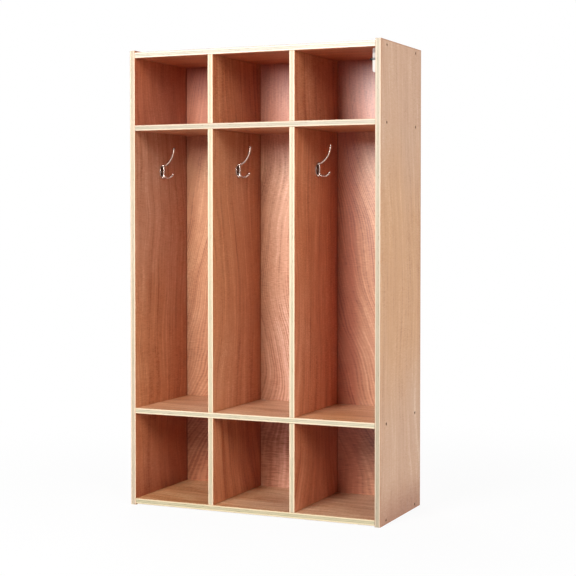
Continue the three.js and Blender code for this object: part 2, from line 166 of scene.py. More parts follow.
# What each part adds to the veneer's tone, roughness and relief, and the roughness without them
TONE = {"broad": 0.9, "streak": 1.0, "fine": 0.8, "mottle": 0.4, "speck": 0.3, "rings": 0.18, "ripple": 1.2}
ROUGHNESS = {"fine": 0.3, "pores": 0.12, "ripple": -0.5}
PLAIN_ROUGHNESS = 0.46
RELIEF = {"pores": -0.6, "fine": 0.6, "ripple": 2.5, "rings": 0.1}

# Growth rings: their pitch, how far the noise moves them and how much they lean, in metres
RING_PITCH = 0.0066
RING_BEND = 0.15
RING_KINK = 0.012
RING_LEAN = 0.05

# Where rings and ripple show: the noise from its low to its high end, and how much shows at each
RING_PATCHES = (-0.2, 0.12, 0.1, 1.0)
RIPPLE_PATCHES = (-0.12, 0.12, 0.55, 0.95)

# Pores: the noise at their edge, and how dark they are
PORE_EDGE = (0.12, 0.24)
PORE_SHADE = 0.15

# Shares of the back's ripple that its rear face and the other boards have
REAR_RIPPLE = 0.5
BOARD_RIPPLE = 0.6

# Strength and depth of the relief on the boards
BOARD_RELIEF = (0.25, 0.4 * MM)

# Length of log over which the wood turns pinker and back, how unevenly, and where it is brown and pink
DRIFT_PERIOD = 1.08
DRIFT_UNEVENNESS = -2.0
DRIFT_ENDS = (0.9, -0.9)

# Inputs of the node groups that are settings under the same names
VENEER_COLOURS = ("Light", "Brown", "Dark", "Rosy")
PLY_COLOURS = ("Pale", "Core", "Grey", "Glue")
PLY_LAYERS = ("Veneer", "Outer ply", "Cross ply")

# Edges of the boards: their grain, how much of it shows in the colour, the relief and the roughness
PLY_GRAIN = {
    "wobble": (90.0, 90.0),
    "streak": (700.0, 18.0),
    "ends": (420.0, 420.0, 2.0, 0.6),
    "patches": (14.0, 14.0),
    "dashes": (260.0, 70.0, 1.0),
}
PLY_SHADE = {"streak": 0.3, "ends": 0.35, "dashes": 0.55}
PLY_RELIEF = {"streak": 0.3, "ends": -0.8, "glue": -0.6}
PLY_ROUGHNESS = (0.15, 0.42)
GREY_PATCHES = (0.35, 0.65)
GLUE_PATCHES = (0.3, 0.7, 0.25, 0.8)
DASH_EDGE = (0.6, 0.7)
PLY_WOBBLE = 0.7 * MM
PLY_BLUR = 0.12 * MM
GLUE_REACH = 0.3 * MM

# How near the middle of a board, or the underside of a level one, a tone changes
FACE_CHANGE = MM

# The veneer's rim, painted shade from its darkest line to plain wood
RIM_SHADE = (0.5 * MM, 4.5 * MM)

# Handling marks: the grain of lines and smudges, and the edge of a line
MARK_LINES = {"across": 90.0, "along": 200.0, "through": 1400.0}
MARK_SMUDGES = (120.0, 120.0, 3.0, 0.6)
MARK_EDGE = (0.6, 0.75)

# Metal: how dark its smudges are, how much rougher smudges and marks are, and its relief
SMUDGE_SHADE = 0.72
SMUDGE_ROUGHNESS = 0.2
MARK_ROUGHNESS = 0.25
METAL_RELIEF = (0.12, 0.3 * MM)

# Hook's plate: the rim of its dark field, a painted reflection of the wood, in half widths, how far above
# the plate it ends, and its share
DARK_REFLECTION_EDGE = (0.78, 0.92)
DARK_REFLECTION_RISE = 0.4 * MM
DARK_REFLECTION_SHARE = 0.95

# Moulding: where painted shade from the board above darkens its upper part, as shares of its rise above the
# screw, and the edge of its dark band
PAINTED_SHADE_RISE = (0.3, 0.7)
PAINTED_SHADE_SHARE = 0.42
DARK_BAND_EDGE = (2.4 * MM, 3.8 * MM)
MOULDING_ROUGHNESS = 0.36
MOULDING_GRAIN = (1600.0, 1600.0)
MOULDING_RELIEF = (0.15, 0.2 * MM)

# Beech: its grain, how much rougher its streaks are than the rest, and its relief
BEECH_GRAIN = (900.0, 60.0, 3.0)
BEECH_ROUGHNESS = (0.2, 0.55)
BEECH_RELIEF = (0.3, 0.3 * MM)

# Cross recess, with the size of its floor in x and in y as shares of its mouth
CROSS_LENGTH = 3.4 * MM
CROSS_WIDTH = 0.8 * MM
CROSS_DEPTH = 1.0 * MM
CROSS_FLOOR = (0.55, 0.8)

# Wood screws: their shank, their taper and its radius half way up, their heads, and the fitting screw's neck
WOOD_SCREW_SHANK = 1.6 * MM
WOOD_SCREW_TAPER = 4 * MM
WOOD_SCREW_HALF_WAY = 0.45
WOOD_SCREW_SIDES = 32
HOOK_SCREW_HEAD = 2.9 * MM
HOOK_SCREW_SINK = 1.8 * MM
HOOK_SCREW_EDGE = (0.97, -0.15 * MM)
FITTING_SCREW_NECK = 2 * MM
FITTING_SCREW_NECK_END = 4 * MM

# Assembly screws: shares of the head's height, the socket's lead-in by its width and depth, its tip,
# where the thread starts, its half height as a share of the pitch and its root as a share of the shank
HEAD_CHAMFER = 0.12
HEAD_SEAT = 0.8
SOCKET_LEAD = ((1.08, 0), (1, 0.2 * MM))
SOCKET_TIP = 0.6 * MM
THREAD_START = 3 * MM
THREAD_HALF = 0.22
THREAD_ROOT = 0.95

# Pan head: shares of its radius and height, from its underside to its face
PAN_HEAD = ((0.96, 0.0), (1.0, 0.12), (1.0, 0.45), (0.94, 0.7), (0.8, 0.9), (0.72, 1.0))

# Sides of the hook's plate, and control points of its arms as shares of their reach and rise
PLATE_SIDES = 72
UPPER_ARM_PULLS = ((0.45, 0.05), (0.95, 0.36))
LOWER_ARM_PULLS = (0.25, 0.78)

SHARP_EDGE = math.radians(35)

# Place, width and height of the lamps
LAMPS = {
    "key": ((-0.32, -2.65, 1.7), 0.8, 1.0),
    "side": ((3.6, -0.6, 1.5), 2.0, 2.0),
    "fill": ((4.8, -4.2, 3.4), 2.2, 2.2),
    "rear": ((-1.7, 2.3, 1.3), 1.5, 1.5),
}
LAMP_TARGET = Vector((0, 0, 0.6))
FLOOR_SIZE = 60

# Floor: from and to which distance it is lifted to white, and how far at each
FLOOR_LIFT = (0.4, 1.8, 0.93, 1.0)
VIEW_END = 100


def srgb(red, green, blue):
    """A colour picked on a screen, 0 to 255, as the linear values that a shader takes."""

    def linear(value):
        part = value / 255
        return part / 12.92 if part <= 0.04045 else ((part + 0.055) / 1.055) ** 2.4

    return (linear(red), linear(green), linear(blue))


def number(name, description, value, **more):
    return FloatProperty(name=name, description=description, default=value, **more)


def share(name, description, value):
    return number(name, description, value, subtype="FACTOR", min=0, max=1)


def length(name, description, millimetres):
    return number(name, description, millimetres * MM, unit="LENGTH", precision=5)


def power(name, description, watts):
    return number(name, description, watts, unit="POWER")


def colour(name, description, red, green, blue):
    default = srgb(red, green, blue)
    return FloatVectorProperty(
        name=name, description=description, default=default, subtype="COLOR", size=3, min=0, max=1
    )


class LockerVeneerSettings(bpy.types.PropertyGroup):
    """Face veneer of all the boards."""

    light: colour("Light wood", "Early wood between the streaks", 229, 188, 141)
    brown: colour("Brown wood", "Main colour of the veneer", 207, 155, 107)
    dark: colour("Dark wood", "Late wood and pores", 172, 108, 62)
    rosy: colour("Rosy wood", "Wood in the pinker places", 206, 170, 143)
    # Stain and painted shade: darkens and reddens the faces inside the bays, partly their own tone, partly
    # painted shade
    stain_and_shade: colour("Stain", "Darkens the faces inside the bays", 232, 174, 162)
    # Painted shade: how the stain grows from the front of the bays to the back, and in the top and the shoe
    # cubbies
    depth_shade_start: length("Stain, start", "Distance from the front where it starts to grow", 30)
    depth_shade_end: length("Stain, end", "Distance from the front where it is full", 270)
    depth_shade_front: number("Stain, front", "Near the front, against the back", 0.8)
    top_cubby_shade: number("Stain, top", "In the top cubbies, against the bays", 1.8)
    top_cubby_shade_back: number("Stain, top, back", "On the back in the top cubbies", 2.05)
    shoe_cubby_shade: number("Stain, foot", "In the shoe cubbies, against the bays", 1.5)
    # Painted shade: darker where the bays' walls meet the back
    corner: colour("Corner", "Darkens the bays' walls where they meet the back", 165, 126, 114)
    corner_shade_reach: length("Corner, reach", "Distance from the back over which it fades", 14)
    # Painted shade: the sides are darker just above the floor
    foot: colour("Foot", "Darkens the sides just above the floor", 218, 193, 176)
    floor_shade_height: length("Foot height", "How far up the darker foot reaches", 120)
    # Painted shade along the rim of each face
    rim_shade: share("Arris", "How much darker the veneer is along its rim", 0.75)
    # Painted light and painted shadow on the back: a paler patch in the middle bay, a redder one by the
    # right bay's left wall
    painted_light_tint: colour("Pale leaf", "Brown wood in the middle of the back", 238, 200, 165)
    painted_light_place: length("Pale leaf, place", "Middle of the paler leaf, to the right", -25)
    painted_light_reach: length("Pale leaf, reach", "Distance over which it fades", 100)
    painted_light_top: number("Pale leaf, top", "In the top cubbies, against the bays", 0.15)
    painted_shadow_place: length("Red leaf, place", "Middle of the redder leaf, to the right", 148)
    painted_shadow_reach: length("Red leaf, reach", "Distance over which it fades", 60)
    painted_shadow_top: number("Red leaf, top", "In the top cubbies, against the bays", 1.4)
    # Painted shadow: the back is darker under each level board
    shadow_under_boards_reach: length("Roof reach", "How far down the back is darker under a level board", 110)
    rings: share("Rings", "How strongly the growth rings show", 1.0)
    ripple: share("Ripple", "How strongly the cross ripple shows on the back", 0.9)
    ripple_foot: number("Ripple, foot", "Cross ripple on the back in the shoe cubbies", 1.35)


class LockerPlySettings(bpy.types.PropertyGroup):
    """Layers that show on the edges of the boards."""

    veneer: length("Veneer", "Thickness of the face veneer", 0.55)
    outer_ply: length("Outer ply", "Thickness of the pale ply under the veneer", 3.7)
    cross_ply: length("Cross ply", "Thickness of the plies whose ends show", 2.2)
    pale: colour("Pale ply", "Plies whose length shows", 226, 207, 173)
    core: colour("Core ply", "Ply in the middle of the board", 202, 190, 160)
    grey: colour("Cross ply", "Plies whose ends show", 178, 171, 139)
    glue: colour("Glue line", "Line between two plies", 140, 121, 93)


class LockerHookSettings(bpy.types.PropertyGroup):
    """Plated double hook, with x out from the wall and z up from the middle of its plate."""

    plate_height: length("Plate height", "Height of the oval plate", 34)
    plate_width: length("Plate width", "Width of the oval plate", 23)
    plate_thickness: length("Plate thickness", "Thickness of the plate", 2.4)
    plate_rim: length("Plate rim", "Upright edge below the plate's rounded corner", 1.4)
    spine_out: length("Spine", "Distance out of the points that bow the spine", 8.6)
    spine_radius: length("Spine radius", "Radius of the spine", 2.3)
    upper_bead_out: length("Upper bead", "Distance out of the upper bead", 5.5)
    lower_bead_out: length("Lower bead", "Distance out of the lower bead", 3.4)
    bead_rise: length("Bead rise", "Distance of the beads from the middle", 15.9)
    bead_radius: length("Bead radius", "Radius of the beads", 3.9)
    upper_reach: length("Upper reach", "Reach of the long arm", 39)
    upper_rise: length("Upper rise", "Height of the long arm's tip", 62.5)
    upper_root: length("Upper root", "Radius where the long arm starts", 3.1)
    upper_tip: length("Upper tip", "Radius where the long arm ends", 2.5)
    upper_ball: length("Upper ball", "Radius of the long arm's ball", 3.7)
    lower_reach: length("Lower reach", "Reach of the short arm", 35.8)
    lower_root_out: length("Lower root out", "Distance out of the short arm's start", 6.2)
    lower_root_drop: length("Lower root", "Start of the short arm below the middle", 9)
    lower_tip_drop: length("Lower tip", "End of the short arm below the middle", 8)
    lower_sag: length("Lower sag", "Dip of the short arm's control points", 21)
    lower_root: length("Lower root radius", "Radius where the short arm starts", 3)
    lower_tip: length("Lower tip radius", "Radius where the short arm ends", 2.4)
    lower_ball: length("Lower ball", "Radius of the short arm's ball", 3.5)
    cast_detail: length("Cast detail", "Finest form that the casting keeps", 0.45)
    # Partly the plating's own tone, partly a painted reflection: warmed and darkened for the reddish wood
    # the hooks reflect
    chrome_and_reflection: colour("Chrome", "Colour of the plating", 207, 190, 180)
    # Painted reflection: the plate's dark field stands for the dark wood that the plate reflects
    field: colour("Plate field", "Dark field inside the plate's rim", 60, 40, 31)
    polish: share("Polish", "Roughness of the plating", 0.24)


class LockerScrewSettings(bpy.types.PropertyGroup):
    """Assembly screws, with their face at z = 0 and the point below."""

    shank: length("Shank", "Radius of the shank", 2.2)
    crest: length("Crest", "Radius of the thread's crest", 2.5)
    collar: length("Collar", "Radius of the plain collar", 3.4)
    collar_end: length("Collar end", "Depth at which the collar ends", 12)
    head: length("Head", "Radius of the head", 4.3)
    head_height: length("Head height", "Height of the head", 3)
    total: length("Length", "Length of the screw", 50)
    taper: length("Taper", "Length of the tapered point", 4)
    pitch: length("Pitch", "Pitch of the thread", 3)
    socket: length("Socket", "Radius of the socket's corners", 2.3)
    socket_depth: length("Socket depth", "Depth of the socket", 2.2)
    bronze: colour("Bronzed steel", "Colour of the plated screws", 150, 118, 92)


class LockerStageSettings(bpy.types.PropertyGroup):
    """Camera, floor and lamps."""

    camera: FloatVectorProperty(
        name="Camera",
        description="Place of the camera",
        default=(1.598, -3.502, 0.786),
        subtype="TRANSLATION",
    )
    yaw: number("Yaw", "Turn to the left", math.radians(24.02), subtype="ANGLE")
    pitch: number("Pitch", "Tilt upwards", math.radians(-1.62), subtype="ANGLE")
    lens: number("Lens", "Focal length in millimetres", 89.74)
    shift: number("Shift", "Shift of the lens downwards, as a share of the frame", 0.06)
    floor: colour("Floor", "Pale floor", 236, 236, 236)
    key_power: power("Key lamp", "Power of the lamp in front", 82)
    side_power: power("Side lamp", "Power of the lamp on the right", 46)
    fill_power: power("Fill lamp", "Power of the far lamp on the right", 160)
    rear_power: power("Rear lamp", "Power of the lamp behind", 60)
    ambient: share("Ambient", "Strength of the light from all sides", 0.03)


class Shading:
    """Adds nodes to one tree. A socket is given a number, a colour or another node's output."""

    def __init__(self, tree):
        self.tree = tree

    def node(self, kind, sockets, **settings):
        made = self.tree.nodes.new(f"ShaderNode{kind}")
        for key, value in settings.items():
            setattr(made, key, value)
        self.feed(made.inputs, sockets)
        return made

    def feed(self, inputs, sockets):
        for key, value in sockets.items():
            if isinstance(value, bpy.types.NodeSocket):
                self.tree.links.new(value, inputs[key])
            elif inputs[key].type == "RGBA":
                inputs[key].default_value = (*value, 1.0)
            else:
                inputs[key].default_value = value

    def math(self, operation, *values):
        return self.node("Math", dict(enumerate(values)), operation=operation).outputs[0]

    def minus(self, first, second):
        return self.math("SUBTRACT", first, second)

    def times(self, first, *others):
        for other in others:
            first = self.math("MULTIPLY", first, other)
        return first

    def times_plus(self, value, factor, addend):
        return self.math("MULTIPLY_ADD", value, factor, addend)

    def gap(self, first, second):
        """The distance between two values."""
        return self.math("ABSOLUTE", self.minus(first, second))

    def blend(self, factor, first, second):
        """The first value where the factor is 0, the second where it is 1."""
        return self.times_plus(factor, self.minus(second, first), first)

    def vector(self, operation, *values):
        made = self.node("VectorMath", dict(enumerate(values)), operation=operation)
        return made.outputs["Value" if operation == "LENGTH" else "Vector"]

    def join(self, x, y, z):
        return self.node("CombineXYZ", {0: x, 1: y, 2: z}).outputs[0]

    def split(self, vector):
        return self.node("SeparateXYZ", {0: vector}).outputs

    def objects(self):
        """Places on the locker, in metres."""
        return self.node("TexCoord", {}).outputs["Object"]

    def mix(self, factor, first, second, blend="MIX"):
        """Mixes two colours, which are inputs 6 and 7 and output 2 of the node."""
        sockets = {0: factor, 6: first, 7: second}
        return self.node("Mix", sockets, data_type="RGBA", blend_type=blend).outputs[2]

    def tint(self, factor, colour, by):
        """Multiplies a colour by another one, as far as the factor says."""
        return self.mix(factor, colour, by, "MULTIPLY")

    def between(self, value, low, high, to_low=0.0, to_high=1.0):
        """Goes smoothly from to_low to to_high as value goes from low to high."""
        sockets = {"Value": value, "From Min": low, "From Max": high, "To Min": to_low, "To Max": to_high}
        return self.node("MapRange", sockets, interpolation_type="SMOOTHSTEP").outputs[0]

    def faces(self, through, low, high):
        """One value on a board's low face and another on its high face."""
        return self.between(through, -FACE_CHANGE, FACE_CHANGE, low, high)

    def noise(self, place, across, along, detail=2.0, roughness=0.5, through=None):
        """Noise from 0 to 1. Its cells a metre through the board are those across it, if not given."""
        scaled = self.vector("MULTIPLY", place, (across, through or across, along))
        sockets = {"Vector": scaled, "Scale": 1.0, "Detail": detail, "Roughness": roughness}
        return self.node("TexNoise", sockets).outputs["Fac"]

    def bump(self, height, strength, distance):
        sockets = {"Height": height, "Strength": strength, "Distance": distance}
        return self.node("Bump", sockets).outputs["Normal"]

    def group(self, name, make, sockets):
        """Places the node group of that name, which make(name) builds when it is first needed."""
        tree = bpy.data.node_groups.get(name) or make(name)
        return self.node("Group", sockets, node_tree=tree).outputs


def new_group(name, colours, numbers, outputs):
    """A shader node group that takes a place, colours and numbers, with its shading and both its ends."""
    group = bpy.data.node_groups.new(name, "ShaderNodeTree")
    sockets = [("Vector", "INPUT", "Vector")]
    sockets += [(label, "INPUT", "Color") for label in colours]
    sockets += [(label, "INPUT", "Float") for label in numbers]
    sockets += [(label, "OUTPUT", "Color" if label == "Color" else "Float") for label in outputs]
    for label, way, kind in sockets:
        group.interface.new_socket(label, in_out=way, socket_type=f"NodeSocket{kind}")
    start = group.nodes.new("NodeGroupInput").outputs
    end = group.nodes.new("NodeGroupOutput").inputs
    return group, Shading(group), start, end


def from_settings(settings, labels):
    return {label: getattr(settings, label.lower().replace(" ", "_")) for label in labels}


def veneer_group(name):
    """Figure of a reddish brown veneer, with x across the grain, y through it and z along it."""
    numbers = ("Contrast", "Rings", "Blush", "Ripple")
    outputs = ("Color", "Roughness", "Height")
    group, shade, start, end = new_group(name, VENEER_COLOURS, numbers, outputs)

    def field(place, part):
        """Noise about 0."""
        return shade.minus(shade.noise(place, *FIGURE[part]), 0.5)

    # Growth rings of a log cut along its length: leaning lines a few millimetres apart that bend and fade
    sawn = start["Vector"]
    x, y, z = shade.split(sawn)
    radius = shade.times_plus(field(sawn, "kink"), RING_KINK, x)
    radius = shade.times_plus(field(sawn, "bend"), RING_BEND, radius)
    radius = shade.times_plus(z, RING_LEAN, radius)
    line = shade.math("SINE", shade.times(radius, 2 * math.pi / RING_PITCH))
    shown = shade.between(field(sawn, "ring patches"), *RING_PATCHES)

    # The rest of the figure bends with the rings. Ripple is short bands across the grain, in places
    bent = shade.join(radius, y, z)
    parts = {part: field(bent, part) for part in ("broad", "streak", "fine", "mottle", "speck")}
    parts["rings"] = shade.times(line, shown, start["Rings"])
    shown = shade.between(field(bent, "ripple patches"), *RIPPLE_PATCHES)
    parts["ripple"] = shade.times(field(bent, "ripple"), start["Ripple"], shown)
    parts["pores"] = shade.between(field(bent, "pores"), *PORE_EDGE)

    def weighed(weights, total):
        for part, weight in weights.items():
            total = shade.times_plus(parts[part], weight, total)
        return total

    tone = shade.times_plus(weighed(TONE, 0.0), start["Contrast"], 0.5)
    low = shade.mix(shade.between(tone, 0.0, 0.5), start["Dark"], start["Brown"])
    wood = shade.mix(shade.between(tone, 0.5, 1.0), low, start["Light"])
    swing = shade.math("COSINE", shade.times(z, 2 * math.pi / DRIFT_PERIOD))
    drift = shade.times_plus(field(bent, "drift"), DRIFT_UNEVENNESS, swing)
    blush = shade.times(shade.between(drift, *DRIFT_ENDS), start["Blush"])
    pinker = shade.vector("DIVIDE", start["Rosy"], start["Brown"])
    wood = shade.mix(blush, wood, shade.vector("MULTIPLY", wood, pinker))
    sockets = {
        "Color": shade.mix(shade.times(parts["pores"], PORE_SHADE), wood, start["Dark"]),
        "Roughness": weighed(ROUGHNESS, PLAIN_ROUGHNESS),
        "Height": weighed(RELIEF, 0.5),
    }
    shade.feed(end, sockets)
    return group


def ply_group(name):
    """Layers of a board's edge, with y from the middle of its thickness. Face is 1 on the veneer."""
    numbers = ("Half thickness", *PLY_LAYERS)
    outputs = ("Color", "Face", "Roughness", "Height")
    group, shade, start, end = new_group(name, PLY_COLOURS, numbers, outputs)
    place = start["Vector"]
    grain = {part: shade.noise(place, *noise) for part, noise in PLY_GRAIN.items()}
    wobble = shade.times(shade.minus(grain["wobble"], 0.5), PLY_WOBBLE)
    depth = shade.math("ADD", shade.math("ABSOLUTE", shade.split(place)[1]), wobble)
    veneer_line = shade.minus(start["Half thickness"], start["Veneer"])
    cross_line = shade.minus(veneer_line, start["Outer ply"])
    core_line = shade.minus(cross_line, start["Cross ply"])

    def beyond(line):
        """0 nearer the middle than the line, 1 further out."""
        return shade.between(depth, shade.minus(line, PLY_BLUR), shade.math("ADD", line, PLY_BLUR))

    def near(line):
        return shade.between(shade.gap(depth, line), 0.0, GLUE_REACH, 1.0, 0.0)

    # Streaks run along the long plies, and the cross plies show open ends that are darker in places
    pale = shade.mix(shade.times(grain["streak"], PLY_SHADE["streak"]), start["Pale"], start["Core"])
    grey = shade.mix(shade.between(grain["patches"], *GREY_PATCHES), start["Grey"], start["Core"])
    grey = shade.mix(shade.times(grain["ends"], PLY_SHADE["ends"]), grey, start["Glue"])
    dashes = shade.between(grain["dashes"], *DASH_EDGE)
    grey = shade.mix(shade.times(dashes, PLY_SHADE["dashes"]), grey, start["Glue"])
    inner = shade.mix(beyond(core_line), start["Core"], grey)
    edge = shade.mix(beyond(cross_line), inner, pale)
    glue = shade.math("MAXIMUM", near(core_line), near(cross_line))
    glue = shade.times(glue, shade.between(grain["patches"], *GLUE_PATCHES))
    open_ends = shade.times(shade.minus(beyond(core_line), beyond(cross_line)), grain["ends"])
    height = shade.times(grain["streak"], PLY_RELIEF["streak"])
    height = shade.times_plus(open_ends, PLY_RELIEF["ends"], height)
    sockets = {
        "Color": shade.mix(glue, edge, start["Glue"]),
        "Face": beyond(veneer_line),
        "Roughness": shade.times_plus(grain["ends"], *PLY_ROUGHNESS),
        "Height": shade.times_plus(glue, PLY_RELIEF["glue"], height),
    }
    shade.feed(end, sockets)
    return group


def marks_group(name):
    """Fine handling marks on metal and plastic."""
    group, shade, start, end = new_group(name, (), ("Scale", "Amount"), ("Marks", "Smudge"))
    place = shade.vector("MULTIPLY", start["Vector"], start["Scale"])
    lines = shade.between(shade.noise(place, **MARK_LINES), *MARK_EDGE)
    smudge = shade.noise(place, *MARK_SMUDGES)
    sockets = {"Marks": shade.times(lines, start["Amount"]), "Smudge": shade.times(smudge, start["Amount"])}
    shade.feed(end, sockets)
    return group


def cleared(owner):
    """The shading of a material or world, with its nodes taken out."""
    owner.use_nodes = True
    owner.node_tree.nodes.clear()
    return Shading(owner.node_tree)


def new_material(name):
    """A material with a Principled BSDF. Returns the material, its shading and the BSDF's inputs."""
    material = bpy.data.materials.new(name)
    shade = cleared(material)
    surface = shade.node("BsdfPrincipled", {})
    shade.node("OutputMaterial", {"Surface": surface.outputs[0]})
    return material, shade, surface.inputs


def height_of(node):
    """The underside and the top of a level board."""
    return [corner.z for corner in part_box(node)]


def board_material(name, board, number_on_log, low, high):
    """Veneered plywood for a board between two corners."""
    veneer = bpy.context.scene.locker_veneer
    material, shade, surface = new_material(f"plywood_{name}")
    objects = shade.objects()
    side, thin, long = board.axes
    middle = (low + high) / 2
    centre = Vector((0, 0, 0))
    centre[thin] = middle[thin]
    parts = shade.split(shade.vector("SUBTRACT", objects, centre))
    across, through, along = (parts[axis] for axis in board.axes)
    lean = shade.times(shade.minus(along, middle[long]), board.fan)
    fanned = shade.join(shade.times_plus(across, lean, across), through, along)
    on_log = shade.vector("ADD", fanned, tuple(number_on_log * step for step in LOG_STEP))

    # The back's ripple is stronger in the shoe cubbies, and weaker on its rear face
    ripple = veneer.ripple * BOARD_RIPPLE
    if board.axes == BACK:
        shelf = height_of("lower_shelf")
        ripple = shade.between(shade.split(objects)[2], *shelf, veneer.ripple_foot, veneer.ripple)
        ripple = shade.times(ripple, shade.faces(through, 1.0, REAR_RIPPLE))

    sockets = from_settings(veneer, VENEER_COLOURS)
    sockets |= {"Vector": on_log, "Contrast": board.contrast, "Rings": veneer.rings * board.rings}
    sockets |= {"Blush": board.blush, "Ripple": ripple}
    figure = shade.group("Veneer figure", veneer_group, sockets)
    sockets = from_settings(bpy.context.scene.locker_ply, PLY_COLOURS + PLY_LAYERS)
    sockets |= {"Vector": shade.join(across, through, along), "Half thickness": (high - low)[thin] / 2}
    layers = shade.group("Ply edge", ply_group, sockets)
    wood = stained_and_shaded(shade, veneer, board, figure["Color"], objects, through)

    # Painted shade: the rim of a face, along and across the grain, is darker
    off = shade.vector("ABSOLUTE", shade.vector("SUBTRACT", objects, middle))
    inside = shade.split(shade.vector("SUBTRACT", (high - low) / 2, off))
    rim = shade.math("MINIMUM", inside[side], inside[long])
    wood = shade.mix(shade.between(rim, *RIM_SHADE, veneer.rim_shade, 0.0), wood, veneer.dark)

    face = layers["Face"]
    plies = shade.tint(1.0, layers["Color"], board.edge_light)
    height = shade.blend(face, layers["Height"], figure["Height"])
    sockets = {
        "Base Color": shade.mix(face, plies, wood),
        "Roughness": shade.blend(face, layers["Roughness"], figure["Roughness"]),
        "Normal": shade.bump(height, *BOARD_RELIEF),
        "Coat Weight": board.lacquer,
        "Coat Roughness": board.haze,
        "Coat IOR": board.refraction,
    }
    shade.feed(surface, sockets)
    return material


def stained_and_shaded(shade, veneer, board, wood, objects, through):
    """Wood with its stain, partly painted shade, and painted light and shade on the back, in corners and at
    the floor.
    """
    right, inwards, above = shade.split(objects)
    levels = [height_of(node) for node in ("top_panel", "upper_shelf", "lower_shelf")]
    _, upper, lower = levels
    front = shade.faces(through, 1.0, 0.0)

    def in_top(amount):
        """1 in the bays, and the amount in the top cubbies."""
        return shade.between(above, *upper, 1.0, amount)

    # A patch on the back's front face: painted light where it is paler, painted shadow where it is redder
    def leaf(amount, place, reach, top_amount):
        away = shade.between(shade.gap(right, place), 0.0, reach, amount, 0.0)
        return shade.times(away, front, in_top(top_amount))

    # Stain of the faces inside the bays: partly the veneer's own darker, redder tone, partly painted shade
    own_stain_and_shade = shade.faces(through, *board.stains_and_shade)
    # Painted shade: the stain grows towards the back of the bays, and in the top and the shoe cubbies
    depth = shade.minus(inwards, FRONT)
    stain_and_shade = shade.times(
        own_stain_and_shade,
        shade.between(depth, veneer.depth_shade_start, veneer.depth_shade_end, veneer.depth_shade_front, 1.0),
        in_top(veneer.top_cubby_shade_back if board.axes == BACK else veneer.top_cubby_shade),
        shade.between(above, *lower, veneer.shoe_cubby_shade, 1.0),
    )
    # Painted light in the middle bay and painted shadow by the right bay's left wall, on the back
    pale, red = board.painted_light_and_shadow
    paler = leaf(pale, veneer.painted_light_place, veneer.painted_light_reach, veneer.painted_light_top)
    redder = leaf(red, veneer.painted_shadow_place, veneer.painted_shadow_reach, veneer.painted_shadow_top)
    lift = [new / old for new, old in zip(veneer.painted_light_tint, veneer.brown)]
    wood = shade.mix(paler, wood, shade.vector("MULTIPLY", wood, lift))
    wood = shade.tint(shade.math("ADD", stain_and_shade, redder), wood, veneer.stain_and_shade)
    # Painted shadow under each level board, on the back's front face
    for underside, _ in levels:
        under = shade.between(above, underside - veneer.shadow_under_boards_reach, underside, 0.0, board.shadow_under_boards)
        below = shade.between(above, underside, underside + FACE_CHANGE, 1.0, 0.0)
        wood = shade.tint(shade.times(under, below, front), wood, veneer.stain_and_shade)
    # Painted shade in the bays' back corners, where the walls meet the back
    if board.axes == UPRIGHT:
        back_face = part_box("back_panel")[0].y
        corner = shade.between(inwards, back_face - veneer.corner_shade_reach, back_face)
        wood = shade.tint(shade.times(corner, own_stain_and_shade), wood, veneer.corner)
    # Painted shade on the sides just above the floor
    foot = shade.between(above, 0.0, veneer.floor_shade_height, board.foot, 0.0)
    return shade.tint(foot, wood, veneer.foot)


def worn(shade, objects, scale, amount):
    """Handling marks, which a larger scale makes finer."""
    sockets = {"Vector": objects, "Scale": scale, "Amount": amount}
    return shade.group("Handling marks", marks_group, sockets)


def metal_material(name, tint, roughness, marks, scale, field=None, plate=None):
    """Plated metal. A plate, given by its height, width and thickness, has a dark field inside its rim: a
    painted reflection of the wood.
    """
    material, shade, surface = new_material(name)
    objects = shade.objects()
    wear = worn(shade, objects, scale, marks)
    darker = [value * SMUDGE_SHADE for value in tint]
    shine = shade.mix(wear["Smudge"], tint, darker)
    # Painted reflection: a dark field inside the plate's rim stands for the dark wood it reflects
    if plate:
        tall, wide, thick = plate
        oval = shade.vector("LENGTH", shade.vector("MULTIPLY", objects, (0.0, 2 / wide, 2 / tall)))
        inside = shade.between(oval, *DARK_REFLECTION_EDGE, 1.0, 0.0)
        low = shade.between(shade.split(objects)[0], thick, thick + DARK_REFLECTION_RISE, DARK_REFLECTION_SHARE, 0.0)
        shine = shade.mix(shade.times(inside, low), shine, field)
    rough = shade.times_plus(wear["Smudge"], SMUDGE_ROUGHNESS, roughness)
    sockets = {
        "Base Color": shine,
        "Metallic": 1.0,
        "Roughness": shade.times_plus(wear["Marks"], MARK_ROUGHNESS, rough),
        "Normal": shade.bump(wear["Smudge"], *METAL_RELIEF),
    }
    shade.feed(surface, sockets)
    return material


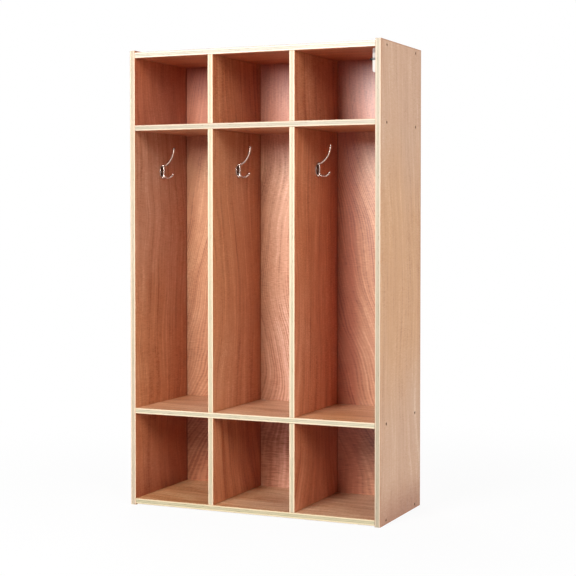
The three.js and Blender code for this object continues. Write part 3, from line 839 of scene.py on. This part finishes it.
def moulding_material(top, screw_height):
    """White moulding, darker above its screw and towards its top with painted shade, and with a dark band at
    the screw.
    """
    material, shade, surface = new_material("white_moulding")
    objects = shade.objects()
    smudge = worn(shade, objects, scale=3.0, amount=0.5)["Smudge"]
    height = shade.split(objects)[2]
    # Painted shade from the board above: darker above the screw, and more so towards the top
    shade_from, shade_to = (screw_height + (top - screw_height) * rise for rise in PAINTED_SHADE_RISE)
    upper = shade.between(height, shade_from, shade_to)
    lower = shade.between(height, screw_height, screw_height + MM, 0.0, PAINTED_SHADE_SHARE)
    # A dark band at the screw's height
    dark_band = shade.between(shade.gap(height, screw_height), *DARK_BAND_EDGE, 1.0, 0.0)
    white = shade.mix(smudge, srgb(192, 184, 177), srgb(180, 171, 163))
    white = shade.mix(shade.math("MAXIMUM", upper, lower), white, srgb(84, 62, 52))
    sockets = {
        "Base Color": shade.mix(dark_band, white, srgb(48, 40, 35)),
        "Roughness": shade.times_plus(smudge, SMUDGE_ROUGHNESS, MOULDING_ROUGHNESS),
        "Normal": shade.bump(shade.noise(objects, *MOULDING_GRAIN), *MOULDING_RELIEF),
    }
    shade.feed(surface, sockets)
    return material


def beech_material():
    material, shade, surface = new_material("beech")
    streak = shade.noise(shade.objects(), *BEECH_GRAIN)
    sockets = {
        "Base Color": shade.mix(streak, srgb(222, 192, 150), srgb(190, 150, 108)),
        "Roughness": shade.times_plus(streak, *BEECH_ROUGHNESS),
        "Normal": shade.bump(streak, *BEECH_RELIEF),
    }
    shade.feed(surface, sockets)
    return material


def finish_node(node, material):
    """Gives a CAD node its material and no other."""
    materials = frame["nodes"][node].data.materials
    materials.clear()
    materials.append(material)


def linked(name, data):
    made = bpy.data.objects.new(name, data)
    bpy.context.scene.collection.objects.link(made)
    return made


def new_piece(name, mesh, material, replaced):
    """Links a mesh as a piece that stands for a CAD node."""
    piece = linked(name, mesh)
    if not mesh.materials:
        mesh.materials.append(material)
    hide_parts(replaced)
    return piece


def mesh_from(name, build):
    """A smooth-shaded mesh that build(bm) fills, with sharp edges kept sharp."""
    mesh = bpy.data.meshes.new(name)
    bm = bmesh.new()
    build(bm)
    bmesh.ops.remove_doubles(bm, verts=bm.verts, dist=1e-6)
    bmesh.ops.recalc_face_normals(bm, faces=bm.faces)
    for face in bm.faces:
        face.smooth = True
    for edge in bm.edges:
        if len(edge.link_faces) == 2 and edge.calc_face_angle() > SHARP_EDGE:
            edge.smooth = False
    bm.to_mesh(mesh)
    bm.free()
    return mesh


def turns(sides):
    return [2 * math.pi * i / sides for i in range(sides)]


def bridge(bm, low, high):
    """Faces between two rings of vertices. A ring of one vertex is a pole."""
    sides = max(len(low), len(high))
    for i in range(sides):
        j = (i + 1) % sides
        corners = (low[i % len(low)], low[j % len(low)], high[j % len(high)], high[i % len(high)])
        bm.faces.new(list(dict.fromkeys(corners)))


def revolve(bm, profile, sides):
    """Turns a profile of (radius, height) about z. Radius 0 closes it. Returns the last ring."""
    previous = None
    for radius, height in profile:
        if radius:
            spots = [(radius * math.cos(turn), radius * math.sin(turn), height) for turn in turns(sides)]
        else:
            spots = [(0, 0, height)]
        ring = [bm.verts.new(spot) for spot in spots]
        if previous:
            bridge(bm, previous, ring)
        previous = ring
    return previous


def bezier(points, steps):
    """Points on the cubic curve with four control points in the plane y = 0."""
    a, b, c, d = (Vector((x, 0, z)) for x, z in points)
    shares = ((1 - i / steps, i / steps) for i in range(steps + 1))
    return [a * s**3 + b * 3 * s * s * t + c * 3 * s * t * t + d * t**3 for s, t in shares]


def arm(bm, points, root, tip):
    """A round bar along a curve in the plane y = 0 that goes from one radius to the other."""
    steps = 40
    sides = 28
    path = bezier(points, steps)
    rings = []
    for i, centre in enumerate(path):
        along = (path[min(i + 1, steps)] - path[max(i - 1, 0)]).normalized()
        across = Vector((along.z, 0, -along.x))
        radius = root + (tip - root) * i / steps
        ring = []
        for turn in turns(sides):
            aside = Vector((0, radius * math.sin(turn), 0))
            ring.append(bm.verts.new(centre + across * radius * math.cos(turn) + aside))
        rings.append(ring)
    for low, high in zip(rings, rings[1:]):
        bridge(bm, low, high)
    bm.faces.new(rings[0])
    bm.faces.new(rings[-1])


def ball(bm, radius, x, z):
    place = Matrix.Translation((x, 0, z))
    bmesh.ops.create_uvsphere(bm, u_segments=32, v_segments=20, radius=radius, matrix=place)


def oval_plate(bm, hook):
    """A round plate with a rounded rim, narrowed to an oval and stood against the wall."""
    radius = hook.plate_height / 2
    corner = hook.plate_thickness - hook.plate_rim
    steps = 6
    profile = [(0, 0), (radius, 0)]
    for i in range(steps + 1):
        turn = math.pi / 2 * i / steps
        profile.append((radius - corner + corner * math.cos(turn), hook.plate_rim + corner * math.sin(turn)))
    profile.append((0, hook.plate_thickness))
    revolve(bm, profile, PLATE_SIDES)
    narrow = Matrix.Diagonal((1, hook.plate_width / hook.plate_height, 1, 1))
    turned = Euler((0, math.pi / 2, 0)).to_matrix().to_4x4()
    bmesh.ops.transform(bm, matrix=turned @ narrow, verts=bm.verts)


def hook_forms(bm, hook):
    """Plate, long arm, short arm, bowed spine, beads and balls."""
    oval_plate(bm, hook)
    bead = hook.bead_rise
    upper_bead = (hook.upper_bead_out, bead)
    upper_tip = (hook.upper_reach, hook.upper_rise)
    lower_bead = (hook.lower_bead_out, -bead)
    lower_root = (hook.lower_root_out, -hook.lower_root_drop)
    lower_tip = (hook.lower_reach, -hook.lower_tip_drop)
    rise = hook.upper_rise - bead
    pulled = [(hook.upper_reach * out, bead + rise * up) for out, up in UPPER_ARM_PULLS]
    sagged = [(hook.lower_reach * out, -hook.lower_sag) for out in LOWER_ARM_PULLS]
    bowed = [(hook.spine_out, bead / 2), (hook.spine_out, -bead / 2)]
    arm(bm, (upper_bead, *pulled, upper_tip), hook.upper_root, hook.upper_tip)
    arm(bm, (lower_root, *sagged, lower_tip), hook.lower_root, hook.lower_tip)
    arm(bm, (upper_bead, *bowed, lower_bead), hook.spine_radius, hook.spine_radius)
    ball(bm, hook.bead_radius, *upper_bead)
    ball(bm, hook.bead_radius, *lower_bead)
    ball(bm, hook.upper_ball, *upper_tip)
    ball(bm, hook.lower_ball, *lower_tip)


def hook_casting(hook):
    """The double hook's mesh, joined to one casting with soft hollows where its forms meet."""
    forms = mesh_from("hook_forms", lambda bm: hook_forms(bm, hook))
    rough_cast = linked("rough_cast", forms)
    cast = rough_cast.modifiers.new("cast", "REMESH")
    cast.mode = "VOXEL"
    cast.voxel_size = hook.cast_detail
    cast.use_smooth_shade = True
    polish = rough_cast.modifiers.new("polish", "SMOOTH")
    polish.factor = 0.5
    polish.iterations = 6
    finished = rough_cast.evaluated_get(bpy.context.evaluated_depsgraph_get())
    made = bpy.data.meshes.new_from_object(finished)
    made.name = "hook_casting"
    bpy.data.objects.remove(rough_cast)
    bpy.data.meshes.remove(forms)

    # The smoothed plate lies flat on the wall
    for vertex in made.vertices:
        vertex.co.x = max(vertex.co.x, 0.0)
    return made


def cross_screw_mesh(name, profile):
    """A screw of revolution with a cross recess in the face that its profile ends with."""
    face = profile[-1][1]

    def build(bm):
        rim = revolve(bm, profile, WOOD_SCREW_SIDES)
        half = CROSS_WIDTH / 2
        reach = CROSS_LENGTH / 2
        outline = []
        for quarter in turns(4):
            turn = Matrix.Rotation(quarter, 3, "Z")
            outline += [turn @ Vector((*spot, 0)) for spot in ((reach, -half), (reach, half), (half, half))]
        mouth = [bm.verts.new((spot.x, spot.y, face)) for spot in outline]
        wide, high = CROSS_FLOOR
        floor = [bm.verts.new((spot.x * wide, spot.y * high, face - CROSS_DEPTH)) for spot in outline]
        edges = []
        for ring in (rim, mouth):
            for pair in zip(ring, ring[1:] + ring[:1]):
                edges.append(bm.edges.get(pair) or bm.edges.new(pair))
        bmesh.ops.triangle_fill(bm, use_beauty=True, edges=edges)
        bridge(bm, mouth, floor)
        bm.faces.new(floor)

    return mesh_from(name, build)


def wood_screw_point(grip):
    """Profile of a blunt point and its taper, up to the shank's full radius."""
    shank = WOOD_SCREW_SHANK
    half_way = (shank * WOOD_SCREW_HALF_WAY, -grip + WOOD_SCREW_TAPER / 2)
    return [(0, -grip), half_way, (shank, -grip + WOOD_SCREW_TAPER)]


def hook_screw_mesh(grip):
    """Countersunk screw with its face at z = 0."""
    head = HOOK_SCREW_HEAD
    edge_share, edge_height = HOOK_SCREW_EDGE
    profile = [(WOOD_SCREW_SHANK, -HOOK_SCREW_SINK), (head * edge_share, edge_height), (head, 0)]
    return cross_screw_mesh("hook_screw", wood_screw_point(grip) + profile)


def fitting_screw_mesh(grip, stand_off, head_radius):
    """Pan head on a plain neck, whose seat is at z = 0. Stand-off is from there to the head's face."""
    neck_end = FITTING_SCREW_NECK_END
    head_height = stand_off - neck_end
    profile = [(WOOD_SCREW_SHANK, 0), (FITTING_SCREW_NECK, 0), (FITTING_SCREW_NECK, neck_end)]
    profile += [(head_radius * wide, neck_end + head_height * high) for wide, high in PAN_HEAD]
    return cross_screw_mesh("fitting_screw", wood_screw_point(grip) + profile)


def assembly_screw_mesh(screw):
    """Head with a hexagon socket, collar, and a shank with a coarse thread."""
    chamfer = screw.head_height * HEAD_CHAMFER
    profile = [
        (0, -screw.total),
        (screw.shank, -screw.total + screw.taper),
        (screw.shank, -screw.collar_end),
        (screw.collar, -screw.collar_end),
        (screw.collar, -screw.head_height),
        (screw.head, -screw.head_height * HEAD_SEAT),
        (screw.head, -chamfer),
        (screw.head - chamfer, 0),
    ]

    def build(bm):
        per_side = 6
        rim = revolve(bm, profile, 6 * per_side)
        corners = [Vector((math.cos(turn), math.sin(turn))) * screw.socket for turn in turns(6)]
        outline = []
        for corner, following in zip(corners, corners[1:] + corners[:1]):
            outline += [corner.lerp(following, i / per_side) for i in range(per_side)]
        rings = [rim]
        for widening, depth in (*SOCKET_LEAD, (1, screw.socket_depth)):
            rings.append([bm.verts.new((spot.x * widening, spot.y * widening, -depth)) for spot in outline])
        rings.append([bm.verts.new((0, 0, -screw.socket_depth - SOCKET_TIP))])
        for low, high in zip(rings, rings[1:]):
            bridge(bm, low, high)
        thread(bm, screw)

    return mesh_from("assembly_screw", build)


def thread(bm, screw):
    """A thin ridge that winds up the shank."""
    start = -screw.total + THREAD_START
    rise = screw.total - screw.collar_end - screw.taper
    per_turn = 16
    half = Vector((0, 0, screw.pitch * THREAD_HALF))
    previous = None
    for i in range(int(rise / screw.pitch * per_turn) + 1):
        turn = 2 * math.pi * i / per_turn
        height = Vector((0, 0, start + screw.pitch * i / per_turn))
        direction = Vector((math.cos(turn), math.sin(turn), 0))
        root = direction * screw.shank * THREAD_ROOT + height
        ring = [bm.verts.new(spot) for spot in (root - half, direction * screw.crest + height, root + half)]
        if previous:
            bridge(bm, previous, ring)
        else:
            bm.faces.new(ring)
        previous = ring
    bm.faces.new(previous)


def stand_on(piece, node, direction):
    """Puts a screw so that its axis is the node's and its head looks along the direction."""
    low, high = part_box(node)
    axis = max(range(3), key=lambda i: abs(direction[i]))
    spot = (low + high) / 2
    spot[axis] = high[axis] if direction[axis] > 0 else low[axis]
    piece.location = spot
    piece.rotation_euler = Vector((0, 0, 1)).rotation_difference(Vector(direction)).to_euler()
    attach(piece, BODY)


class LOCKER_OT_boards(bpy.types.Operator):
    """Gives every board its veneer and its layered edges"""

    bl_idname = "locker.boards"
    bl_label = "Boards"

    def execute(self, context):
        for number_on_log, (name, board) in enumerate(BOARDS.items(), 1):
            finish_node(name, board_material(name, board, number_on_log, *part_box(name)))
        return {"FINISHED"}


class LOCKER_OT_hooks(bpy.types.Operator):
    """Builds the plated double hooks and their screws"""

    bl_idname = "locker.hooks"
    bl_label = "Hooks"

    def execute(self, context):
        hook = context.scene.locker_hook
        # The plating's colour is partly a painted reflection of the reddish wood; the plate's dark field is
        # a painted reflection too
        plating = {"tint": hook.chrome_and_reflection, "roughness": hook.polish, "marks": 0.2, "scale": 4.0}
        plate = (hook.plate_height, hook.plate_width, hook.plate_thickness)
        chrome_and_reflection = metal_material("chrome_plating", **plating, field=hook.field, plate=plate)
        bright = metal_material("chrome_screws", **plating)
        casting = hook_casting(hook)
        casting.materials.append(chrome_and_reflection)
        low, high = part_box(f"hook_screw_{BAYS[0]}_{ROWS[0]}")
        screw_mesh = hook_screw_mesh((high - low).x)
        for bay in BAYS:
            node = f"coat_hook_{bay}"
            low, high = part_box(node)
            piece = new_piece(f"{node}_cast", casting, chrome_and_reflection, node)
            middle = high.z - hook.upper_ball - hook.upper_rise
            piece.location = (low.x, (low.y + high.y) / 2, middle)
            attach(piece, BODY)
            for row in ROWS:
                node = f"hook_screw_{bay}_{row}"
                screw = new_piece(f"{node}_cross_head", screw_mesh, bright, node)
                stand_on(screw, node, (1, 0, 0))
        return {"FINISHED"}


class LOCKER_OT_screws(bpy.types.Operator):
    """Builds the assembly screws and finishes the dowels"""

    bl_idname = "locker.screws"
    bl_label = "Screws and dowels"

    def execute(self, context):
        screw = context.scene.locker_screw
        steel = metal_material("bronzed_steel", screw.bronze, roughness=0.34, marks=0.6, scale=5.0)
        mesh = assembly_screw_mesh(screw)
        beech = beech_material()
        heads = {}
        for level in LEVELS:
            for row in ROWS:
                heads[f"{level}_screw_left_{row}"] = (-1, 0, 0)
                heads[f"{level}_screw_right_{row}"] = (1, 0, 0)
        for side in SIDES:
            for row in ROWS:
                heads[f"divider_top_screw_{side}_{row}"] = (0, 0, 1)
                heads[f"divider_bottom_screw_{side}_{row}"] = (0, 0, -1)
                finish_node(f"upper_dowel_{side}_{row}", beech)
                finish_node(f"lower_dowel_{side}_{row}", beech)
        for node, direction in heads.items():
            piece = new_piece(f"{node}_socket_head", mesh, steel, node)
            stand_on(piece, node, direction)
        return {"FINISHED"}


class LOCKER_OT_fitting(bpy.types.Operator):
    """Finishes the white moulded fitting and builds its screw"""

    bl_idname = "locker.fitting"
    bl_label = "Corner fitting"

    def execute(self, context):
        node = FITTING_SCREW
        low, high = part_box(node)
        seat, fitting_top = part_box(FITTING)
        finish_node(FITTING, moulding_material(fitting_top.z, (low.z + high.z) / 2))
        stand_off = seat.x - low.x
        grip = high.x - low.x - stand_off
        black = metal_material("blackened_steel", srgb(58, 54, 50), roughness=0.42, marks=0.6, scale=5.0)
        mesh = fitting_screw_mesh(grip, stand_off, (high.y - low.y) / 2)
        screw = new_piece(f"{node}_pan_head", mesh, black, node)
        stand_on(screw, node, (-1, 0, 0))
        screw.location.x += stand_off
        return {"FINISHED"}


def white_to_the_eye(shade):
    """1 where the camera, a reflection or a view through glass looks, 0 for light that falls on things."""
    path = shade.node("LightPath", {}).outputs
    seen = shade.math("MAXIMUM", path["Is Camera Ray"], path["Is Glossy Ray"])
    return shade.math("MAXIMUM", seen, path["Is Transmission Ray"])


def floor_material(tint):
    """Matt and pale, lifted to the white of the backdrop where it is looked at, with its shadows kept."""
    material = bpy.data.materials.new("studio_floor")
    shade = cleared(material)
    matt = shade.node("BsdfDiffuse", {"Color": tint})
    white = shade.node("Emission", {"Color": WHITE, "Strength": 1.0})
    away = shade.vector("LENGTH", shade.objects())
    lift = shade.times(white_to_the_eye(shade), shade.between(away, *FLOOR_LIFT))
    both = shade.node("MixShader", {0: lift, 1: matt.outputs[0], 2: white.outputs[0]})
    shade.node("OutputMaterial", {"Surface": both.outputs[0]})
    return material


def studio_world(ambient):
    """White to the eye, and a faint light from all sides."""
    world = bpy.data.worlds.new("studio")
    shade = cleared(world)
    strength = shade.times_plus(white_to_the_eye(shade), 1.0 - ambient, ambient)
    light = shade.node("Background", {"Color": WHITE, "Strength": strength})
    shade.node("OutputWorld", {"Surface": light.outputs[0]})
    return world


class LOCKER_OT_stage(bpy.types.Operator):
    """Adds the camera, the pale floor and the studio lamps"""

    bl_idname = "locker.stage"
    bl_label = "Stage"

    def execute(self, context):
        scene = context.scene
        stage = scene.locker_stage
        view = bpy.data.cameras.new("camera")
        view.lens = stage.lens
        view.shift_y = -stage.shift
        view.clip_end = VIEW_END
        camera = linked("camera", view)
        camera.location = stage.camera
        camera.rotation_euler = (math.pi / 2 + stage.pitch, 0, stage.yaw)
        scene.camera = camera
        scene.view_settings.view_transform = "Standard"

        bpy.ops.mesh.primitive_plane_add(size=FLOOR_SIZE, location=(0, 0, 0))
        floor = context.object
        floor.name = "studio_floor"
        floor.data.materials.append(floor_material(stage.floor))

        for name, (spot, width, height) in LAMPS.items():
            light = bpy.data.lights.new(f"{name}_lamp", "AREA")
            light.shape = "RECTANGLE"
            light.size = width
            light.size_y = height
            light.energy = getattr(stage, f"{name}_power")
            hung = linked(f"{name}_lamp", light)
            hung.visible_camera = False
            hung.location = spot
            hung.rotation_euler = (LAMP_TARGET - Vector(spot)).to_track_quat("-Z", "Y").to_euler()
        scene.world = studio_world(stage.ambient)
        return {"FINISHED"}


class LOCKER_PT_sidebar(bpy.types.Panel):
    """Lists the locker's pieces and their settings"""

    bl_idname = "LOCKER_PT_sidebar"
    bl_label = "Coat locker"
    bl_space_type = "VIEW_3D"
    bl_region_type = "UI"
    bl_category = "Locker"

    def draw(self, context):
        layout = self.layout
        for operator in OPERATORS:
            layout.operator(operator.bl_idname)
        for name in SETTINGS:
            group = getattr(context.scene, name)
            box = layout.box()
            for key in group.__annotations__:
                box.prop(group, key)


OPERATORS = (LOCKER_OT_boards, LOCKER_OT_hooks, LOCKER_OT_screws, LOCKER_OT_fitting, LOCKER_OT_stage)
SETTINGS = {
    "locker_veneer": LockerVeneerSettings,
    "locker_ply": LockerPlySettings,
    "locker_hook": LockerHookSettings,
    "locker_screw": LockerScrewSettings,
    "locker_stage": LockerStageSettings,
}
CLASSES = (*SETTINGS.values(), *OPERATORS, LOCKER_PT_sidebar)


def register():
    for cls in CLASSES:
        bpy.utils.register_class(cls)
    for name, group in SETTINGS.items():
        setattr(bpy.types.Scene, name, PointerProperty(type=group))


def unregister():
    for name in SETTINGS:
        delattr(bpy.types.Scene, name)
    for cls in reversed(CLASSES):
        bpy.utils.unregister_class(cls)


def main():
    register()
    bpy.ops.locker.stage()
    bpy.ops.locker.boards()
    bpy.ops.locker.hooks()
    bpy.ops.locker.screws()
    bpy.ops.locker.fitting()


if __name__ == "__main__":
    main()
